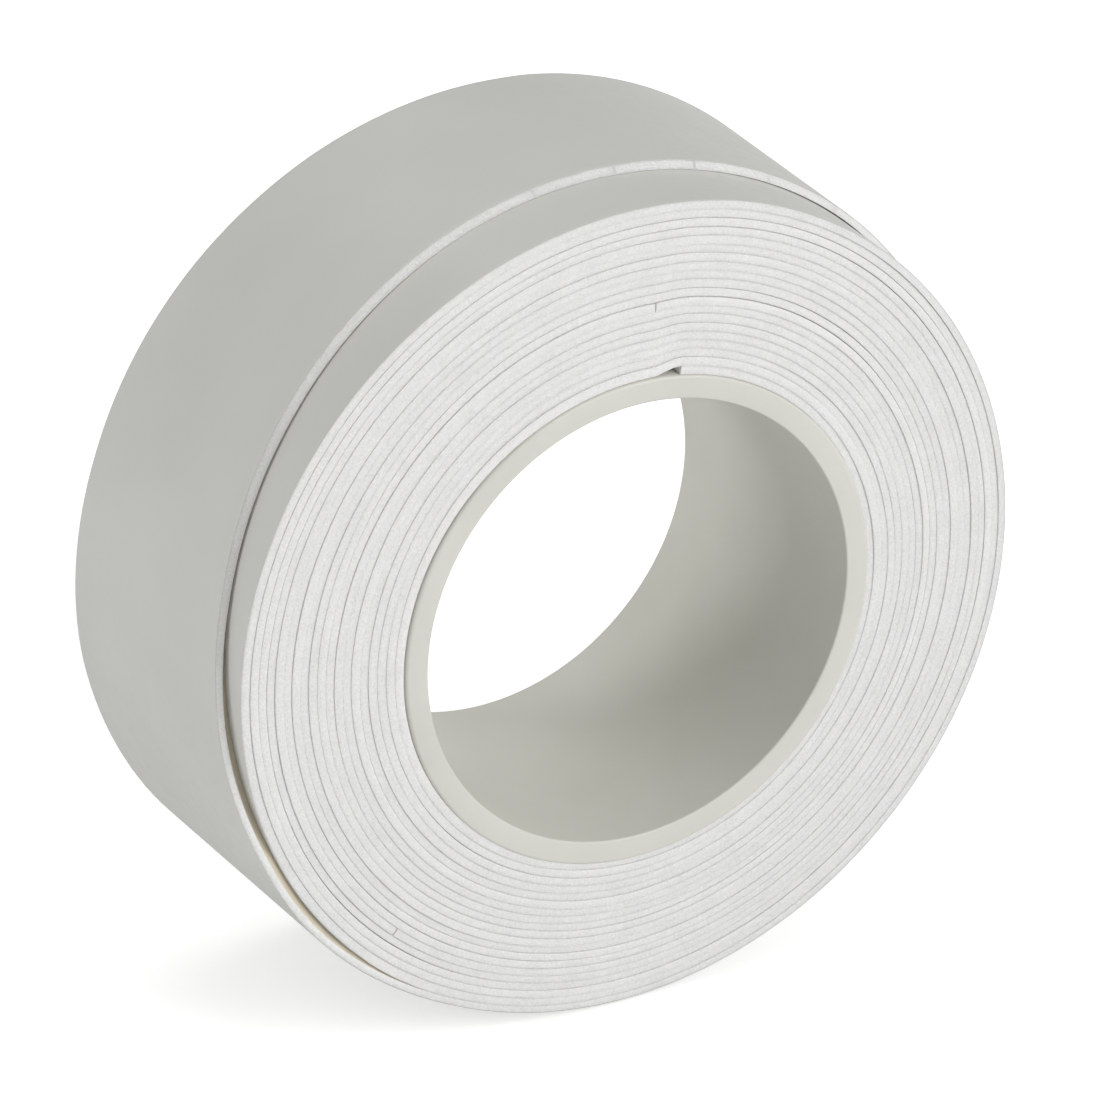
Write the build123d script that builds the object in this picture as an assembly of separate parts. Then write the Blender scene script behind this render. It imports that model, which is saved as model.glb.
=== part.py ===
from build123d import *
from collections import namedtuple
from math import cos, degrees, radians, sin
import os

# Roll of cushioned racket overgrip: three foam strips, each faced with a release film, wound one
# after another on a plastic core. Millimetres. The core's axis is Y, the roll stands on its rim
# with +Z up, and the origin is the middle of the bore. Angles are measured about the axis from +X
# towards +Z. Seen from -Y the tape winds outward clockwise, so angles fall along the tape.

# Strip; the outer one takes what the winding leaves
strip_width = 25.0
foam_thickness = 0.54
film_thickness = 0.045
strip_count = 3
strip_length = 1172.0

# Core
bore_radius = 18.5
core_wall = 1.95
core_edge_chamfer = 0.30

# Winding: wound tight at the lower right and loose at the upper left
winding_turns = 19
tight_side_gap = 0.008
loose_side_gap = 0.154
tight_angle = -52.0
inner_end_angle = 80.0
winding_clearance = 0.03
strip_end_gap = 0.5

# Free end of the outer strip, which lies open round the top of the roll
tail_lift = 0.25
tail_hinge_angle = 92.0
tail_segment_angle = 12.0
tail_segment_count = 6
hinge_gap = 0.10

# Taper cut along the front edge at the outer end of every strip
taper_slope = 0.139
taper_end_slope = 0.02
taper_lead_angle = 115.0
taper_before_tip = 70.0
taper_run_in = 20.0

# Double-sided starter tape pressed into the foam under the outer end of every strip, and its liner
tape_thickness = 0.05
liner_thickness = 0.03
tape_segments = 2
tape_side_margin = 1.0

strip_thickness = foam_thickness + film_thickness
core_radius = bore_radius + core_wall
core_length = strip_width
loose_angle = tight_angle + 180.0
winding_pitch = strip_thickness + (tight_side_gap + loose_side_gap) / 2
centre_drift = (loose_side_gap - tight_side_gap) / 2
tight_step = (winding_pitch + centre_drift) / 2
loose_step = (winding_pitch - centre_drift) / 2
outer_reach = core_radius + (winding_turns + 4) * winding_pitch
half_width = strip_width / 2

# One arc of the tape's inner face; start and end are running angles that fall along the tape
Arc = namedtuple("Arc", "x z radius start end")


def direction(angle):
    return cos(radians(angle)), sin(radians(angle))


def arc_point(arc, offset, angle):
    """Point at an angle on an arc whose radius is changed by an offset."""
    across, up = direction(angle)
    radius = arc.radius + offset
    return arc.x + radius * across, arc.z + radius * up


def next_arc(arc, step, sweep):
    """Arc that carries on tangent to the last one with its radius larger by a step."""
    across, up = direction(arc.end)
    return Arc(arc.x - step * across, arc.z - step * up, arc.radius + step, arc.end, arc.end - sweep)


def wind_tape():
    """Half-turn arcs of the inner face, from the core to the tip of the tail."""
    arcs = [Arc(0, 0, core_radius + winding_clearance, inner_end_angle, tight_angle)]
    for _ in range(winding_turns):
        arcs.append(next_arc(arcs[-1], tight_step, 180))
        arcs.append(next_arc(arcs[-1], loose_step, 180))
    arcs.append(next_arc(arcs[-1], tight_step + tail_lift / 2, 180))
    tip_sweep = loose_angle - tail_hinge_angle + tail_segment_angle * tail_segment_count
    arcs.append(next_arc(arcs[-1], loose_step + tail_lift / 2, tip_sweep))
    return arcs


def stretch(arcs, start, end):
    """Arcs of the tape between two running angles."""
    kept = [arc for arc in arcs if arc.start > end and arc.end < start]
    return [arc._replace(start=min(arc.start, start), end=max(arc.end, end)) for arc in kept]


def arc_at(arcs, angle):
    return stretch(arcs, angle + 0.001, angle - 0.001)[0]


def tape_length(arcs):
    return sum(radians(arc.start - arc.end) * (arc.radius + strip_thickness / 2) for arc in arcs)


def angle_at(arcs, distance):
    """Running angle that lies a distance along the tape from its inner end."""
    for arc in arcs:
        span = tape_length([arc])
        if span >= distance:
            return arc.start - (arc.start - arc.end) * distance / span
        distance -= span
    return arcs[-1].end


def gap_angle(arcs, angle, gap):
    """Angle that a gap along the tape takes at a running angle."""
    arc = arc_at(arcs, angle)
    return degrees(gap / (arc.radius + strip_thickness))


def layer(arcs, inner, outer, margin=0.0):
    """Solid of one layer of the tape between two offsets from its inner face."""
    edges = [CenterArc((a.x, a.z), a.radius + side, a.start, a.end - a.start)
             for side in (inner, outer) for a in arcs]
    first, last = arcs[0], arcs[-1]
    edges.append(Line(arc_point(first, inner, first.start), arc_point(first, outer, first.start)))
    edges.append(Line(arc_point(last, inner, last.end), arc_point(last, outer, last.end)))
    return extrude(Plane.XZ * make_face(edges), amount=half_width - margin, both=True)


def taper_cutter(arc, high_angle, margin=0.0):
    """Solid outside the taper: the front edge runs back to the high angle, then eases."""
    across, up = direction(high_angle)
    start_x, start_z = arc_point(arc, 0, high_angle + taper_lead_angle)
    top_x, top_z = arc_point(arc, strip_thickness, high_angle)
    start = start_x * across + start_z * up
    top = top_x * across + top_z * up
    front = margin - half_width
    outside = -half_width - 1
    top_cut = front + taper_slope * (top - start)
    rising = Polygon((start - (front - outside) / taper_slope, outside), (outer_reach, outside),
                     (outer_reach, front + taper_slope * (outer_reach - start)), align=None)
    easing = Polygon((-outer_reach, outside), (outer_reach, outside),
                     (outer_reach, top_cut - taper_end_slope * (outer_reach - top)),
                     (-outer_reach, top_cut + taper_end_slope * (outer_reach + top)), align=None)
    frame = Plane(origin=(0, 0, 0), x_dir=(across, 0, up), z_dir=(-up, 0, across))
    return [extrude(frame * rising, amount=outer_reach), extrude(frame * easing, amount=-outer_reach)]


def cut_taper(solid, cutter):
    for part in cutter:
        solid = solid - part
    return solid


def make_starter(arcs, cutter):
    """Starter tape and the liner over it, recessed in the inner face of a strip's end."""
    outer = liner_thickness + tape_thickness
    tape = cut_taper(layer(arcs, liner_thickness, outer, tape_side_margin), cutter)
    liner = cut_taper(layer(arcs, 0, liner_thickness, tape_side_margin), cutter)
    return tape, liner


def save(shape, node, colour):
    shape.label = node
    shape.color = Color(*colour)
    export_step(shape, f"parts/{node}.step")


def make_core():
    body = Cylinder(core_radius, core_length) - Cylinder(bore_radius, core_length)
    rims = body.edges().filter_by(GeomType.CIRCLE).filter_by(lambda e: e.radius > bore_radius + 0.1)
    return Rot(90, 0, 0) * chamfer(rims, core_edge_chamfer)


def make_strip(arcs, start, taper_start, end, cutter, inner, outer):
    """One layer of a strip: full width, then its tapered last part."""
    full = layer(stretch(arcs, start, taper_start), inner, outer)
    tapered = layer(stretch(arcs, taper_start, end), inner, outer)
    return full + cut_taper(tapered, cutter)


os.makedirs("parts", exist_ok=True)
foam_colour = (0.93, 0.93, 0.92)
film_colour = (0.75, 0.75, 0.73)
core_colour = (0.80, 0.80, 0.77)
tape_colour = (0.85, 0.80, 0.65)
liner_colour = (0.95, 0.90, 0.78)

winding = wind_tape()
outer_strip_length = tape_length(winding) - (strip_count - 1) * strip_length
tip_angle = winding[-1].end
tail_start = tip_angle + tail_segment_angle * tail_segment_count
tape_angle = tail_segment_angle * tape_segments
hinges = []

save(make_core(), "core", core_colour)

for number in range(1, strip_count + 1):
    start = angle_at(winding, (number - 1) * strip_length)
    end = angle_at(winding, number * strip_length) if number < strip_count else tip_angle
    if number > 1:
        start -= gap_angle(winding, start, strip_end_gap)
    high_angle = end + taper_before_tip
    taper_start = high_angle + taper_lead_angle + taper_run_in
    taper_arc = arc_at(winding, high_angle + taper_lead_angle)
    cutter = taper_cutter(taper_arc, high_angle)
    body_end = end
    if number == strip_count:
        body_end = tail_start + gap_angle(winding, tail_start, hinge_gap / 2)
    foam = make_strip(winding, start, taper_start, body_end, cutter, 0, foam_thickness)
    film = make_strip(winding, start, taper_start, body_end, cutter, foam_thickness, strip_thickness)
    if number < strip_count:
        tape_cutter = taper_cutter(taper_arc, high_angle, tape_side_margin)
        tape, liner = make_starter(stretch(winding, end + tape_angle, end), tape_cutter)
        foam = foam - tape - liner
        save(tape, f"starter_tape_{number}", tape_colour)
        save(liner, f"starter_liner_{number}", liner_colour)
    save(foam, f"grip_strip_{number}", foam_colour)
    save(film, f"release_film_{number}", film_colour)

tape_cutter = taper_cutter(taper_arc, high_angle, tape_side_margin)
for number in range(1, tail_segment_count + 1):
    hinge_angle = tail_start - (number - 1) * tail_segment_angle
    half_gap = gap_angle(winding, hinge_angle, hinge_gap / 2)
    last = number == tail_segment_count
    start = hinge_angle - half_gap
    end = hinge_angle - tail_segment_angle + (0 if last else half_gap)
    segment = stretch(winding, start, end)
    foam = cut_taper(layer(segment, 0, foam_thickness), cutter)
    film = cut_taper(layer(segment, foam_thickness, strip_thickness), cutter)
    if number > tail_segment_count - tape_segments:
        tape, liner = make_starter(segment, tape_cutter)
        foam = foam - tape - liner
        save(tape, f"tail_tape_{number}", tape_colour)
        save(liner, f"tail_liner_{number}", liner_colour)
    save(foam, f"tail_foam_{number}", foam_colour)
    save(film, f"tail_film_{number}", film_colour)
    hinges.append(arc_point(arc_at(winding, hinge_angle), strip_thickness, hinge_angle))

print(f"outer strip length {outer_strip_length:.1f} mm, tip at {tip_angle % 360:.1f} degrees")
for number, (x, z) in enumerate(hinges, 1):
    print(f"tail hinge {number} at x {x:.4f}, z {z:.4f}")
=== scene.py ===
from math import cos, pi, radians, sin

import bpy
import numpy as np
from mathutils import Matrix, Vector


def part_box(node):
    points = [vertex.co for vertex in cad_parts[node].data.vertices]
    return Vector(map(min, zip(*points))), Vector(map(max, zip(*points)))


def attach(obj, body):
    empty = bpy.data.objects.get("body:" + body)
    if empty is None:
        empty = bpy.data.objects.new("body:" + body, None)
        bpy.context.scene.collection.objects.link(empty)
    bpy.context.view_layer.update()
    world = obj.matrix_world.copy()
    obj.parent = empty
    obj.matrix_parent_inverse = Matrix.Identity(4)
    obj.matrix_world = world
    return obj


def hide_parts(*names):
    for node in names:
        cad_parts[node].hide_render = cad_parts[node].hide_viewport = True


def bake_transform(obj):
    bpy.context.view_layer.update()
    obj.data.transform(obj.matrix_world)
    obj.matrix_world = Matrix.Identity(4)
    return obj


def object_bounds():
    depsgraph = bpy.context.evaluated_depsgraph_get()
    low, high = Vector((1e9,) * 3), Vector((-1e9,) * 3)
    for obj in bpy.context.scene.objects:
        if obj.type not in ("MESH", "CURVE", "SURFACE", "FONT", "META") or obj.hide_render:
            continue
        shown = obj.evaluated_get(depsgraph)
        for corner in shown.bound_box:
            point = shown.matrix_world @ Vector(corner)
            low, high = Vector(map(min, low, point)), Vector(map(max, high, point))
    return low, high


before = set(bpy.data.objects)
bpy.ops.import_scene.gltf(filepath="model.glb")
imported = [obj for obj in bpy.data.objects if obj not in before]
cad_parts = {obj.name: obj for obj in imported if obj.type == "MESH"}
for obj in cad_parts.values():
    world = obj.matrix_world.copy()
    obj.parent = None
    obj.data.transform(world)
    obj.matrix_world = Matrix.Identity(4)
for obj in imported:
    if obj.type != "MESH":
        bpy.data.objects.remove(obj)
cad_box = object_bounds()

# Grip tape roll: three foam strips with release films wound on a plastic core. Lengths are in
# millimetres, and MM turns them into metres. Angles run about the core's axis from +X to +Z, and
# the running angle falls along the tape from the core to the tip of the free end.

MM = 0.001
core_low, core_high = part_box("core")
HALF_WIDTH = (core_high[1] - core_low[1]) / 2 / MM
CORE_RADIUS = (core_high[0] - core_low[0]) / 2 / MM
CORE_WALL = 1.95
BORE_RADIUS = CORE_RADIUS - CORE_WALL

FOAM = 0.54
FILM = 0.045
TURNS = 19
TIGHT_GAP, LOOSE_GAP = 0.008, 0.154
TIGHT_ANGLE, LOOSE_ANGLE = -52.0, 128.0
INNER_END = 80.0
CLEARANCE = 0.03
STRIP_LENGTH = 1172.0
BUTT_GAP = 0.10
LIP = 0.35
TAIL_LIFT = 0.25
TIP_LOCAL = 20.0
TAPER_SLOPE, TAPER_END_SLOPE = 0.139, 0.02
TAPER_LEAD, TAPER_BEFORE_TIP, TAPER_OFFSET = 115.0, 70.0, 0.3
TAPE, LINER, TAPE_MARGIN, TAPE_SPAN, TAIL_TAPE_SPAN = 0.05, 0.03, 1.0, 24.0, 20.5
TAIL_STAND_OFF = 0.48
TIP_LIE = 0.23
REST_MARGIN = 0.3
BEVEL = 0.5
AIR = 0.012
MOST_FOAM, OUTER_FOAM = 0.72, 0.555
PROFILE_POINTS = 25
POCKET_FACES = (4, 5, 6)
LINKS, LINK_ANGLE = 6, 12.0
JOIN_AFTER = 6.0

thickness = FOAM + FILM
pitch = thickness + (TIGHT_GAP + LOOSE_GAP) / 2
drift = (LOOSE_GAP - TIGHT_GAP) / 2
tight_step, loose_step = (pitch + drift) / 2, (pitch - drift) / 2


# ---------------------------------------------------------------- the wound path

def wind():
    """Half-turn arcs (x, z, radius, start, end) of the tape's inner face."""
    arcs = [(0.0, 0.0, CORE_RADIUS + CLEARANCE, INNER_END, TIGHT_ANGLE)]

    def add(step, sweep):
        x, z, r, _, end = arcs[-1]
        across, up = cos(radians(end)), sin(radians(end))
        arcs.append((x - step * across, z - step * up, r + step, end, end - sweep))

    for _ in range(TURNS):
        add(tight_step, 180)
        add(loose_step, 180)
    add(tight_step + TAIL_LIFT / 2, 180)
    add(loose_step + TAIL_LIFT / 2, LOOSE_ANGLE - TIP_LOCAL)
    return np.array(arcs)


ARCS = wind()
TIP = ARCS[-1, 4]
BODY_END = TIP + LINKS * LINK_ANGLE + JOIN_AFTER
FIRST = ARCS[0, 3]


def arc_of(t):
    """Rows of ARCS that hold the running angles t."""
    index = np.searchsorted(-ARCS[:, 3], -np.asarray(t, float), side="right") - 1
    return ARCS[np.clip(index, 0, len(ARCS) - 1)]


def angle_at(distance):
    """Running angle that lies a distance along the tape from its inner end."""
    for _, _, r, start, end in ARCS:
        span = radians(start - end) * (r + thickness / 2)
        if span >= distance:
            return start - (start - end) * distance / span
        distance -= span
    return TIP


def smooth(x):
    x = np.clip(x, 0, 1)
    return x * x * (3 - 2 * x)


def bump(t, middle, half, edge):
    """1 within half of the middle, falling to 0 over edge beyond it."""
    return 1 - smooth((np.abs(t - middle) - half) / edge)


def waves(t, seed, longest, count=6):
    """Smooth noise of about unit size along the tape."""
    rng = np.random.default_rng(seed)
    total = np.zeros_like(t)
    for k in range(count):
        total += np.sin(2 * pi * (t / (longest / 1.7 ** k) + rng.random())) / 1.35 ** k
    return total / 2.2


def spacing(t):
    """Distance from the tape's inner face to the next turn's inner face."""
    here, over = arc_of(t), arc_of(t - 360)
    across, up = np.cos(np.radians(t)), np.sin(np.radians(t))
    shift = (over[..., 0] - here[..., 0]) * across + (over[..., 1] - here[..., 1]) * up
    gap = shift + over[..., 2] - here[..., 2] + settle(t - 360) - settle(t)
    return np.where(t - 360 < TIP, pitch, gap)


# Where the winding shows a darker line: middle and half span of the running angle counted back
# from the tip, and how far the turns stand apart there.
OPEN_LINES = [(4350, 120, 0.05), (4050, 60, 0.04), (1500, 150, 0.05), (1150, 90, 0.035),
              (2700, 70, 0.03)]


def line_gap(t):
    """Width of the open line over a turn."""
    slow, quick = np.clip(waves(t, 5, 1130), 0, 1.2), np.clip(waves(t, 6, 150), 0, 1)
    wide = 0.003 + 0.032 * slow ** 2 + 0.01 * quick
    for back, half, extra in OPEN_LINES:
        wide = wide + extra * bump(t - TIP, back, half, 25)
    return wide


def foam_height(t):
    """Thickness of the foam, which fills the room up to the film and the next turn."""
    room = spacing(t) - FILM - AIR
    outer = smooth((TIP + 420 - t) / 40)
    return np.minimum(room, MOST_FOAM) * (1 - outer) + OUTER_FOAM * outer


def edge_height(t):
    """How far the foam's edge stands over its middle, to close over the film where turns are wound
    on it, and how much of that applies (0 to 1)."""
    closed = smooth((t - TIP - 560) / 30)
    return closed * (spacing(t) - line_gap(t) - foam_height(t)), closed


def settle(t):
    """How the wound turns differ from the even spiral: the first ones lie flat on the core and
    climb at its inner end, and the last one stands off the roll at the lower left."""
    turns = np.maximum((FIRST - t) / 360, 0)
    whole = np.floor(turns)
    part = turns - whole
    climb = smooth((part - 0.98) / 0.02)
    hug = pitch * np.exp(-whole / 7) * (climb - part)
    stand_off = TAIL_STAND_OFF * bump(t, TIP + 183, 9, 34)
    lie = TIP_LIE * smooth((TIP + 150 - t) / 70)
    return hug + np.where(t < TIP + 300, stand_off - lie, 0)


def surface(t, offset):
    """x and z at a running angle and an offset from the inner face."""
    arc = arc_of(t)
    radius = arc[..., 2] + offset + settle(t)
    across, up = np.cos(np.radians(t)), np.sin(np.radians(t))
    return arc[..., 0] + radius * across, arc[..., 1] + radius * up


def taper_edge(t, offset, end):
    """Front edge's y where the strip's outer end is cut back; end is the strip's last running angle."""
    high = end + TAPER_BEFORE_TIP
    across, up = cos(radians(high)), sin(radians(high))
    first = arc_of(high + TAPER_LEAD)
    start_x, start_z = surface(np.array(high + TAPER_LEAD), 0.0)
    start = start_x * across + start_z * up
    radius = first[2] + thickness
    top = (first[0] + radius * across) * across + (first[1] + radius * up) * up
    x, z = surface(t, offset)
    along = x * across + z * up
    rising = TAPER_SLOPE * (along - start)
    easing = TAPER_SLOPE * (top - start) + TAPER_END_SLOPE * (top - along)
    cut = np.where(t > high, rising, easing)
    return np.where(t < high + TAPER_LEAD + 10, np.maximum(cut, 0), 0)


# ---------------------------------------------------------------- meshes

def make_mesh(name, verts, faces):
    data = bpy.data.meshes.new(name)
    data.from_pydata((np.asarray(verts) * MM).tolist(), [], faces)
    data.update()
    data.shade_smooth()
    obj = bpy.data.objects.new(name, data)
    bpy.context.scene.collection.objects.link(obj)
    return obj


def loft(name, rings):
    """Closed tube with capped ends through rings of equal point counts, (stations, points, 3)."""
    count, points, _ = rings.shape
    index = np.arange(count * points).reshape(count, points)
    a, b = index[:-1], index[1:]
    quads = np.stack([a, b, np.roll(b, -1, 1), np.roll(a, -1, 1)], -1).reshape(-1, 4)
    faces = quads.tolist()
    faces.append(index[0].tolist())
    faces.append(index[-1][::-1].tolist())
    piece = make_mesh(name, rings.reshape(-1, 3), faces)
    caps = {frozenset(pair) for ring in (index[0], index[-1])
            for pair in zip(ring.tolist(), np.roll(ring, -1).tolist())}
    for edge in piece.data.edges:
        if frozenset(edge.vertices) in caps:
            edge.use_edge_sharp = True
    return piece


def profile(inner, outer, front, back, corner, recess, margin, swell, slant):
    """Rounded section loop per station: arrays of offsets and y, both (stations, points)."""
    c = np.minimum(corner, (outer - inner) * 0.45)
    lip = outer + swell
    loop = []
    turns = np.radians([0, 30, 60, 90])  # from the face to the edge
    # inner face from the front to the back, with a shallow pocket for the starter tape
    for a in turns:
        loop.append((inner + c * (1 - np.sin(a)), front - slant + c * (1 - np.cos(a))))
    loop.append((inner, front + margin))
    loop.append((inner + recess, front + margin + 0.02))
    loop.append((inner + recess, back - margin - 0.02))
    loop.append((inner, back - margin))
    for a in turns[::-1]:
        loop.append((inner + c * (1 - np.sin(a)), back - c * (1 - np.cos(a))))
    for a in turns:
        loop.append((lip - c * (1 - np.sin(a)), back - c * (1 - np.cos(a))))
    loop.append((lip, back - LIP))
    loop.append((outer, back - LIP - 0.12))
    loop.append((outer, (front + back) / 2))
    loop.append((outer, front + LIP + 0.12))
    loop.append((lip, front + LIP))
    for a in turns[::-1]:
        loop.append((lip - c * (1 - np.sin(a)), front + c * (1 - np.cos(a))))
    offsets = np.stack([np.broadcast_to(o, inner.shape) for o, _ in loop], 1)
    ys = np.stack([np.broadcast_to(y, inner.shape) for _, y in loop], 1)
    return offsets, ys


def stations(start, end, step):
    return np.linspace(start, end, max(4, int(round((start - end) / step)) + 1))


def edge_rounding(t):
    """Radius of the foam's edges: small at the top of the roll, larger where turns show as lines."""
    angle = np.radians(t)
    left = 0.5 * (1 - np.cos(angle - radians(80)))
    radius = 0.022 + 0.045 * left * (0.75 + 0.5 * waves(t, 31, 640)) + 0.012 * waves(t, 32, 45)
    return np.clip(radius, 0.02, 0.2)


def edge_wobble(t):
    """How far each turn's edge stands back from the roll's face: the turns never line up exactly."""
    return 0.09 + 0.08 * waves(t, 11, 830) + 0.02 * waves(t, 12, 97)


def ribbon(name, start, end, layer, strip_end, step=2.0):
    """Foam, film, starter tape or liner from one running angle to another."""
    t = stations(start, end, step)
    foam = foam_height(t)
    taper = taper_edge(t, TAPER_OFFSET, strip_end) if strip_end == TIP else np.zeros_like(t)
    swell, closed = edge_height(t)
    slant = zero = np.zeros_like(t)
    wobble = np.maximum(edge_wobble(t), 0.0)
    front = -HALF_WIDTH + wobble + taper
    back = HALF_WIDTH - np.maximum(0.05 + 0.04 * waves(t, 21, 470) + 0.02 * waves(t, 22, 53), 0)
    recess = np.where(t < strip_end + TAPE_SPAN - 3, TAPE + LINER + 0.004, 0.0)
    if layer == "foam":
        inner, outer, rounding = zero, foam, edge_rounding(t)
        slant = BEVEL * bump(t, TIP + 60, 60, 50)
        if strip_end == TIP:
            # behind its lifted edge the foam rests on the turn below
            under = spacing(t + 360) - foam_height(t + 360) - FILM - 0.02
            resting = smooth((t - BODY_END - 4) / 10) * smooth((TIP + 290 - t) / 20)
            recess = recess - np.maximum(under, 0) * resting
    elif layer == "film":
        inner, outer, rounding, recess, swell = foam + 0.002, foam + FILM, zero + 0.012, zero, zero
        covered = closed * (LIP + 0.15)
        front, back = front + 0.02 + covered, back - 0.02 - covered
    else:
        bottom, top, soft = (LINER, LINER + TAPE, 0.01) if layer == "tape" else (0, LINER, 0.008)
        inner, outer, rounding, recess, swell = zero + bottom, zero + top, zero + soft, zero, zero
        front, back = front + TAPE_MARGIN + 0.05, back - TAPE_MARGIN - 0.05
    margin = REST_MARGIN if name == "grip_strip_3_wound" else TAPE_MARGIN
    offsets, ys = profile(inner, outer, front, back, rounding, recess, margin, swell, slant)
    x, z = [], []
    for j in range(offsets.shape[1]):
        px, pz = surface(t, offsets[:, j])
        x.append(px)
        z.append(pz)
    rings = np.stack([np.stack(x, 1), ys, np.stack(z, 1)], -1)
    return loft(name, rings)


def lathe(name, section, steps):
    """Closed ring about the Y axis from a loop of (radius, y)."""
    section = np.asarray(section)
    angle = np.linspace(0, 2 * pi, steps, endpoint=False)
    rings = np.stack([np.outer(np.cos(angle), section[:, 0]),
                      np.broadcast_to(section[:, 1], (steps, len(section))),
                      np.outer(np.sin(angle), section[:, 0])], -1)
    count, points, _ = rings.shape
    index = np.arange(count * points).reshape(count, points)
    a, b = index, np.roll(index, -1, 0)
    quads = np.stack([a, np.roll(a, -1, 1), np.roll(b, -1, 1), b], -1).reshape(-1, 4)
    return make_mesh(name, rings.reshape(-1, 3), quads.tolist())


# ---------------------------------------------------------------- materials

def material(name, colour, roughness, specular=0.5):
    m = bpy.data.materials.new(name)
    m.use_nodes = True
    nodes, links = m.node_tree.nodes, m.node_tree.links
    shader = nodes["Principled BSDF"]
    shader.inputs["Base Color"].default_value = (*colour, 1)
    shader.inputs["Roughness"].default_value = roughness
    shader.inputs["Specular IOR Level"].default_value = specular
    return m, nodes, links, shader


def noise(nodes, links, scale, detail, source, roughness=0.55):
    n = nodes.new("ShaderNodeTexNoise")
    n.inputs["Scale"].default_value = scale
    n.inputs["Detail"].default_value = detail
    n.inputs["Roughness"].default_value = roughness
    links.new(source, n.inputs["Vector"])
    return n.outputs["Fac"]


def ramp(nodes, links, source, low, high, first, last):
    r = nodes.new("ShaderNodeValToRGB")
    r.color_ramp.elements[0].position = low
    r.color_ramp.elements[1].position = high
    r.color_ramp.elements[0].color = (*first, 1)
    r.color_ramp.elements[1].color = (*last, 1)
    links.new(source, r.inputs["Fac"])
    return r.outputs["Color"]


def bump_node(nodes, links, height, distance, strength, normal=None):
    b = nodes.new("ShaderNodeBump")
    b.inputs["Strength"].default_value = strength
    b.inputs["Distance"].default_value = distance
    links.new(height, b.inputs["Height"])
    if normal is not None:
        links.new(normal, b.inputs["Normal"])
    return b.outputs["Normal"]


def object_coordinates(nodes):
    return nodes.new("ShaderNodeTexCoord").outputs["Object"]


def foam_material():
    """White open-cell foam: a fine grain with tiny bright cells."""
    m, nodes, links, shader = material("foam", (0.88, 0.88, 0.87), 0.75, 0.35)
    shader.inputs["Subsurface Weight"].default_value = 0.5
    shader.inputs["Subsurface Radius"].default_value = (1.0, 0.97, 0.92)
    shader.inputs["Subsurface Scale"].default_value = 0.0008
    where = object_coordinates(nodes)
    grain = noise(nodes, links, 5200, 3, where, 0.7)
    patch = noise(nodes, links, 420, 4, where)
    mix = nodes.new("ShaderNodeMix")
    mix.data_type = "RGBA"
    mix.blend_type = "MULTIPLY"
    mix.inputs["Factor"].default_value = 1
    links.new(ramp(nodes, links, grain, 0.30, 0.70, (0.82, 0.818, 0.80), (0.95, 0.945, 0.925)),
              mix.inputs["A"])
    links.new(ramp(nodes, links, patch, 0.30, 0.70, (0.955, 0.955, 0.955), (1, 1, 1)),
              mix.inputs["B"])
    links.new(mix.outputs["Result"], shader.inputs["Base Color"])
    links.new(ramp(nodes, links, grain, 0.35, 0.65, (0.85,) * 3, (0.45,) * 3),
              shader.inputs["Roughness"])
    fine = bump_node(nodes, links, grain, 0.00012, 0.75)
    links.new(bump_node(nodes, links, patch, 0.0002, 0.35, fine), shader.inputs["Normal"])
    return m


def film_material():
    """Satin release film over the foam: smooth, with slow unevenness from the winding."""
    m, nodes, links, shader = material("film", (0.60, 0.60, 0.585), 0.36, 0.5)
    where = object_coordinates(nodes)
    slow = noise(nodes, links, 55, 3, where, 0.5)
    fine = noise(nodes, links, 900, 3, where, 0.6)
    links.new(ramp(nodes, links, slow, 0.3, 0.7, (0.60, 0.60, 0.565), (0.645, 0.643, 0.61)),
              shader.inputs["Base Color"])
    links.new(ramp(nodes, links, fine, 0.3, 0.7, (0.30,) * 3, (0.42,) * 3), shader.inputs["Roughness"])
    first = bump_node(nodes, links, slow, 0.0012, 0.12)
    links.new(bump_node(nodes, links, fine, 0.00003, 0.25, first), shader.inputs["Normal"])
    return m


def core_material():
    """Moulded grey-beige plastic with a faint satin grain."""
    m, nodes, links, shader = material("core_plastic", (0.62, 0.62, 0.57), 0.38, 0.5)
    where = object_coordinates(nodes)
    slow = noise(nodes, links, 90, 3, where)
    fine = noise(nodes, links, 2600, 2, where)
    links.new(ramp(nodes, links, slow, 0.25, 0.75, (0.64, 0.634, 0.575), (0.69, 0.685, 0.63)),
              shader.inputs["Base Color"])
    links.new(ramp(nodes, links, slow, 0.3, 0.7, (0.34,) * 3, (0.44,) * 3), shader.inputs["Roughness"])
    links.new(bump_node(nodes, links, fine, 0.00002, 0.3), shader.inputs["Normal"])
    return m


def plain_material(name, colour, roughness, scale):
    m, nodes, links, shader = material(name, colour, roughness, 0.4)
    where = object_coordinates(nodes)
    spots = noise(nodes, links, scale, 3, where)
    dark = tuple(c * 0.93 for c in colour)
    links.new(ramp(nodes, links, spots, 0.3, 0.7, dark, colour), shader.inputs["Base Color"])
    links.new(bump_node(nodes, links, spots, 0.00002, 0.3), shader.inputs["Normal"])
    return m


FOAM_LOOK = foam_material()
FILM_LOOK = film_material()
CORE_LOOK = core_material()
TAPE_LOOK = plain_material("starter_tape", (0.80, 0.72, 0.52), 0.3, 700)
# Painted warm shade: a tan colour that stands in for the shaded gap under the lifted free end
PAINTED_GAP_SHADE_LOOK = plain_material("painted_gap_shade", (0.78, 0.70, 0.56), 0.5, 900)
LINER_LOOK = plain_material("liner_paper", (0.90, 0.84, 0.70), 0.6, 1500)
LOOKS = {"foam": (FOAM_LOOK, "foam"), "film": (FILM_LOOK, "film"),
         "tape": (TAPE_LOOK, "tape"), "liner": (LINER_LOOK, "liner")}


def finish_piece(piece, layer):
    look, slot = LOOKS[layer]
    piece.data.materials.append(look)
    return piece


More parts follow.
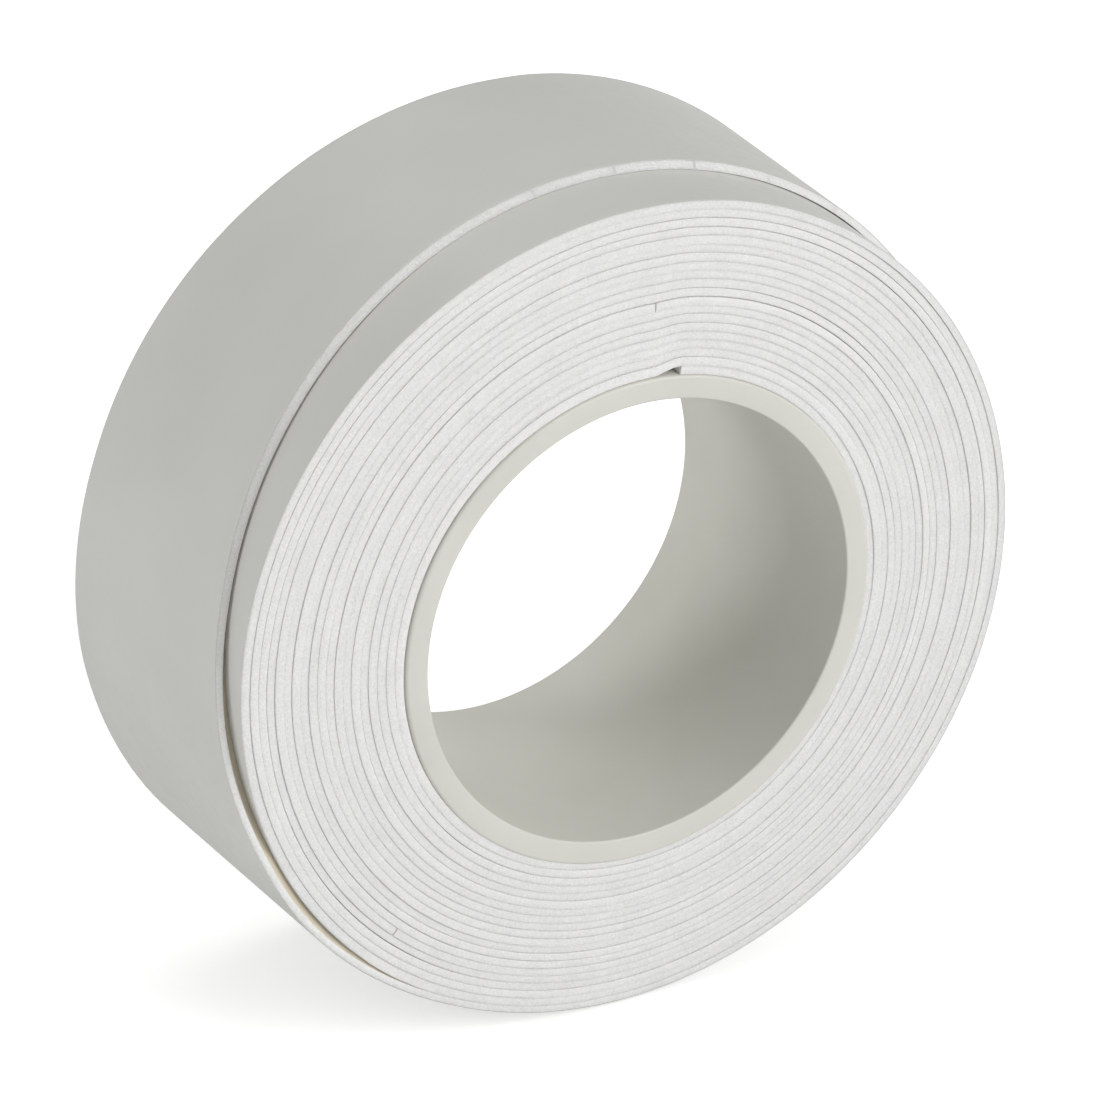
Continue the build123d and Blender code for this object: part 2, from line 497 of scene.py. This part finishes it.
def paint_gap_shade(piece):
    """Paints the foam's inner side, seen in the gap under the lifted edge, tan: painted warm shade for
    the shaded gap.
    """
    piece.data.materials.append(PAINTED_GAP_SHADE_LOOK)
    for face in piece.data.polygons:
        if len(face.vertices) == 4 and face.index % PROFILE_POINTS in POCKET_FACES:
            face.material_index = 1


# ---------------------------------------------------------------- the core

def core_section():
    """Loop of (radius, y) with softened rims."""
    loop = []
    rim, inner_rim = 0.30, 0.16
    steps = np.radians(np.linspace(0, 90, 6))
    for a in steps:
        loop.append((BORE_RADIUS + inner_rim * (1 - cos(a)), -HALF_WIDTH + inner_rim * (1 - sin(a))))
    for a in steps[::-1]:
        loop.append((CORE_RADIUS - rim * (1 - cos(a)), -HALF_WIDTH + rim * (1 - sin(a))))
    for a in steps:
        loop.append((CORE_RADIUS - rim * (1 - cos(a)), HALF_WIDTH - rim * (1 - sin(a))))
    for a in steps[::-1]:
        loop.append((BORE_RADIUS + inner_rim * (1 - cos(a)), HALF_WIDTH - inner_rim * (1 - sin(a))))
    return loop


core = lathe("core_tube", core_section(), 256)
core.data.materials.append(CORE_LOOK)
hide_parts("core")
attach(core, "roll")

# ---------------------------------------------------------------- the strips

strip_ends = [angle_at(STRIP_LENGTH), angle_at(2 * STRIP_LENGTH), TIP]
strip_starts = [FIRST]
for end in strip_ends[:2]:
    strip_starts.append(end - np.degrees(BUTT_GAP / (arc_of(end)[2] + thickness)))

for number in (1, 2, 3):
    start, end = strip_starts[number - 1], strip_ends[number - 1]
    last = end if number < 3 else BODY_END
    for layer, node in (("foam", "grip_strip"), ("film", "release_film")):
        piece = ribbon(f"{node}_{number}_wound", start, last, layer, end)
        finish_piece(piece, layer)
        if layer == "foam" and number == 3:
            # strip 3's pocket faces under the lifted edge get the painted warm gap shade
            paint_gap_shade(piece)
        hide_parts(f"{node}_{number}")
        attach(piece, "roll")
    if number < 3:
        for layer, node in (("tape", "starter_tape"), ("liner", "starter_liner")):
            piece = ribbon(f"{node}_{number}_wound", end + TAPE_SPAN - 4, end, layer, end)
            finish_piece(piece, layer)
            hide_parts(f"{node}_{number}")
            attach(piece, "roll")

# ---------------------------------------------------------------- the free end


for k in range(1, LINKS + 1):
    hinge = TIP + LINK_ANGLE * (LINKS + 1 - k)
    start, end = hinge + JOIN_AFTER, hinge - JOIN_AFTER if k < LINKS else TIP
    for layer, node in (("foam", "tail_foam"), ("film", "tail_film")):
        piece = ribbon(f"{node}_{k}_free", start, end, layer, TIP, step=1.0)
        finish_piece(piece, layer)
        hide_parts(f"{node}_{k}")
        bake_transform(piece)
for layer, node in (("tape", "tail_tape"), ("liner", "tail_liner")):
    piece = ribbon(f"{node}_free", TIP + TAIL_TAPE_SPAN, TIP, layer, TIP, step=1.0)
    finish_piece(piece, layer)
    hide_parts(f"{node}_5", f"{node}_6")
    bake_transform(piece)

# ---------------------------------------------------------------- floor, light, camera

FLOOR_HALF, FLOOR_DROP = 3.0, 0.0002
floor_z = cad_box[0][2] - FLOOR_DROP
floor_data = bpy.data.meshes.new("floor")
floor_data.from_pydata([(-FLOOR_HALF, -FLOOR_HALF, floor_z), (FLOOR_HALF, -FLOOR_HALF, floor_z),
                        (FLOOR_HALF, FLOOR_HALF, floor_z), (-FLOOR_HALF, FLOOR_HALF, floor_z)],
                       [], [(0, 1, 2, 3)])
floor = bpy.data.objects.new("floor", floor_data)
bpy.context.scene.collection.objects.link(floor)


def either(nodes, links, first, second):
    """Larger of two values."""
    n = nodes.new("ShaderNodeMath")
    n.operation = "MAXIMUM"
    links.new(first, n.inputs[0])
    links.new(second, n.inputs[1])
    return n.outputs[0]


def floor_material():
    """White floor: lit paper plus a little white for what the camera sees, so a shadow still shows."""
    m, nodes, links, shader = material("floor", (0.86, 0.86, 0.86), 0.9, 0.0)
    path = nodes.new("ShaderNodeLightPath")
    seen = either(nodes, links, path.outputs["Is Camera Ray"], path.outputs["Is Transmission Ray"])
    glow = nodes.new("ShaderNodeMath")
    glow.operation = "MULTIPLY"
    glow.inputs[1].default_value = 0.5
    links.new(seen, glow.inputs[0])
    shader.inputs["Emission Color"].default_value = (1, 1, 1, 1)
    links.new(glow.outputs[0], shader.inputs["Emission Strength"])
    return m


floor.data.materials.append(floor_material())

scene = bpy.context.scene
scene.view_settings.view_transform = "Standard"
world = bpy.data.worlds.new("studio")
scene.world = world
world.use_nodes = True
wn, wl = world.node_tree.nodes, world.node_tree.links
background = wn["Background"]
path = wn.new("ShaderNodeLightPath")
camera_sees = either(wn, wl, path.outputs["Is Camera Ray"], path.outputs["Is Transmission Ray"])
strength = wn.new("ShaderNodeMapRange")
strength.inputs["To Min"].default_value = 0.42
strength.inputs["To Max"].default_value = 1.0
wl.new(camera_sees, strength.inputs["Value"])
wl.new(strength.outputs["Result"], background.inputs["Strength"])
background.inputs["Color"].default_value = (1, 1, 1, 1)

# Camera as the photograph has it; SIDE and RISE move the middle of the picture off the roll's
# middle
AZIMUTH, ELEVATION = -0.51687, 0.46863
DISTANCE, SIDE, RISE = 928.304, -0.6793, 0.5933
to_camera = Vector((sin(AZIMUTH) * cos(ELEVATION), -cos(AZIMUTH) * cos(ELEVATION), sin(ELEVATION)))
right = Vector((cos(AZIMUTH), sin(AZIMUTH), 0))
rise = to_camera.cross(right)
camera_data = bpy.data.cameras.new("camera")
camera_data.sensor_width = 36
camera_data.lens = 392.7
camera_data.clip_end = 50
camera = bpy.data.objects.new("camera", camera_data)
scene.collection.objects.link(camera)
turn = Matrix((right, rise, to_camera)).transposed().to_4x4()
camera.matrix_world = Matrix.Translation((right * SIDE + rise * RISE + to_camera * DISTANCE) * MM) @ turn
scene.camera = camera


def softbox(name, direction, distance, size, power):
    """Square area lamp that faces the roll from a direction."""
    data = bpy.data.lights.new(name, "AREA")
    data.shape = "SQUARE"
    data.size = size
    data.energy = power
    lamp = bpy.data.objects.new(name, data)
    scene.collection.objects.link(lamp)
    aim = Vector(direction).normalized()
    lamp.location = aim * distance
    lamp.rotation_euler = aim.to_track_quat("Z", "Y").to_euler()


softbox("key", (0.5, -1.0, 0.55), 1.6, 0.9, 14.5)
softbox("top", (0.1, 0.3, 1.0), 1.5, 1.0, 4)
softbox("left", (-1.0, 0.30, 0.14), 1.6, 0.45, 6.4)
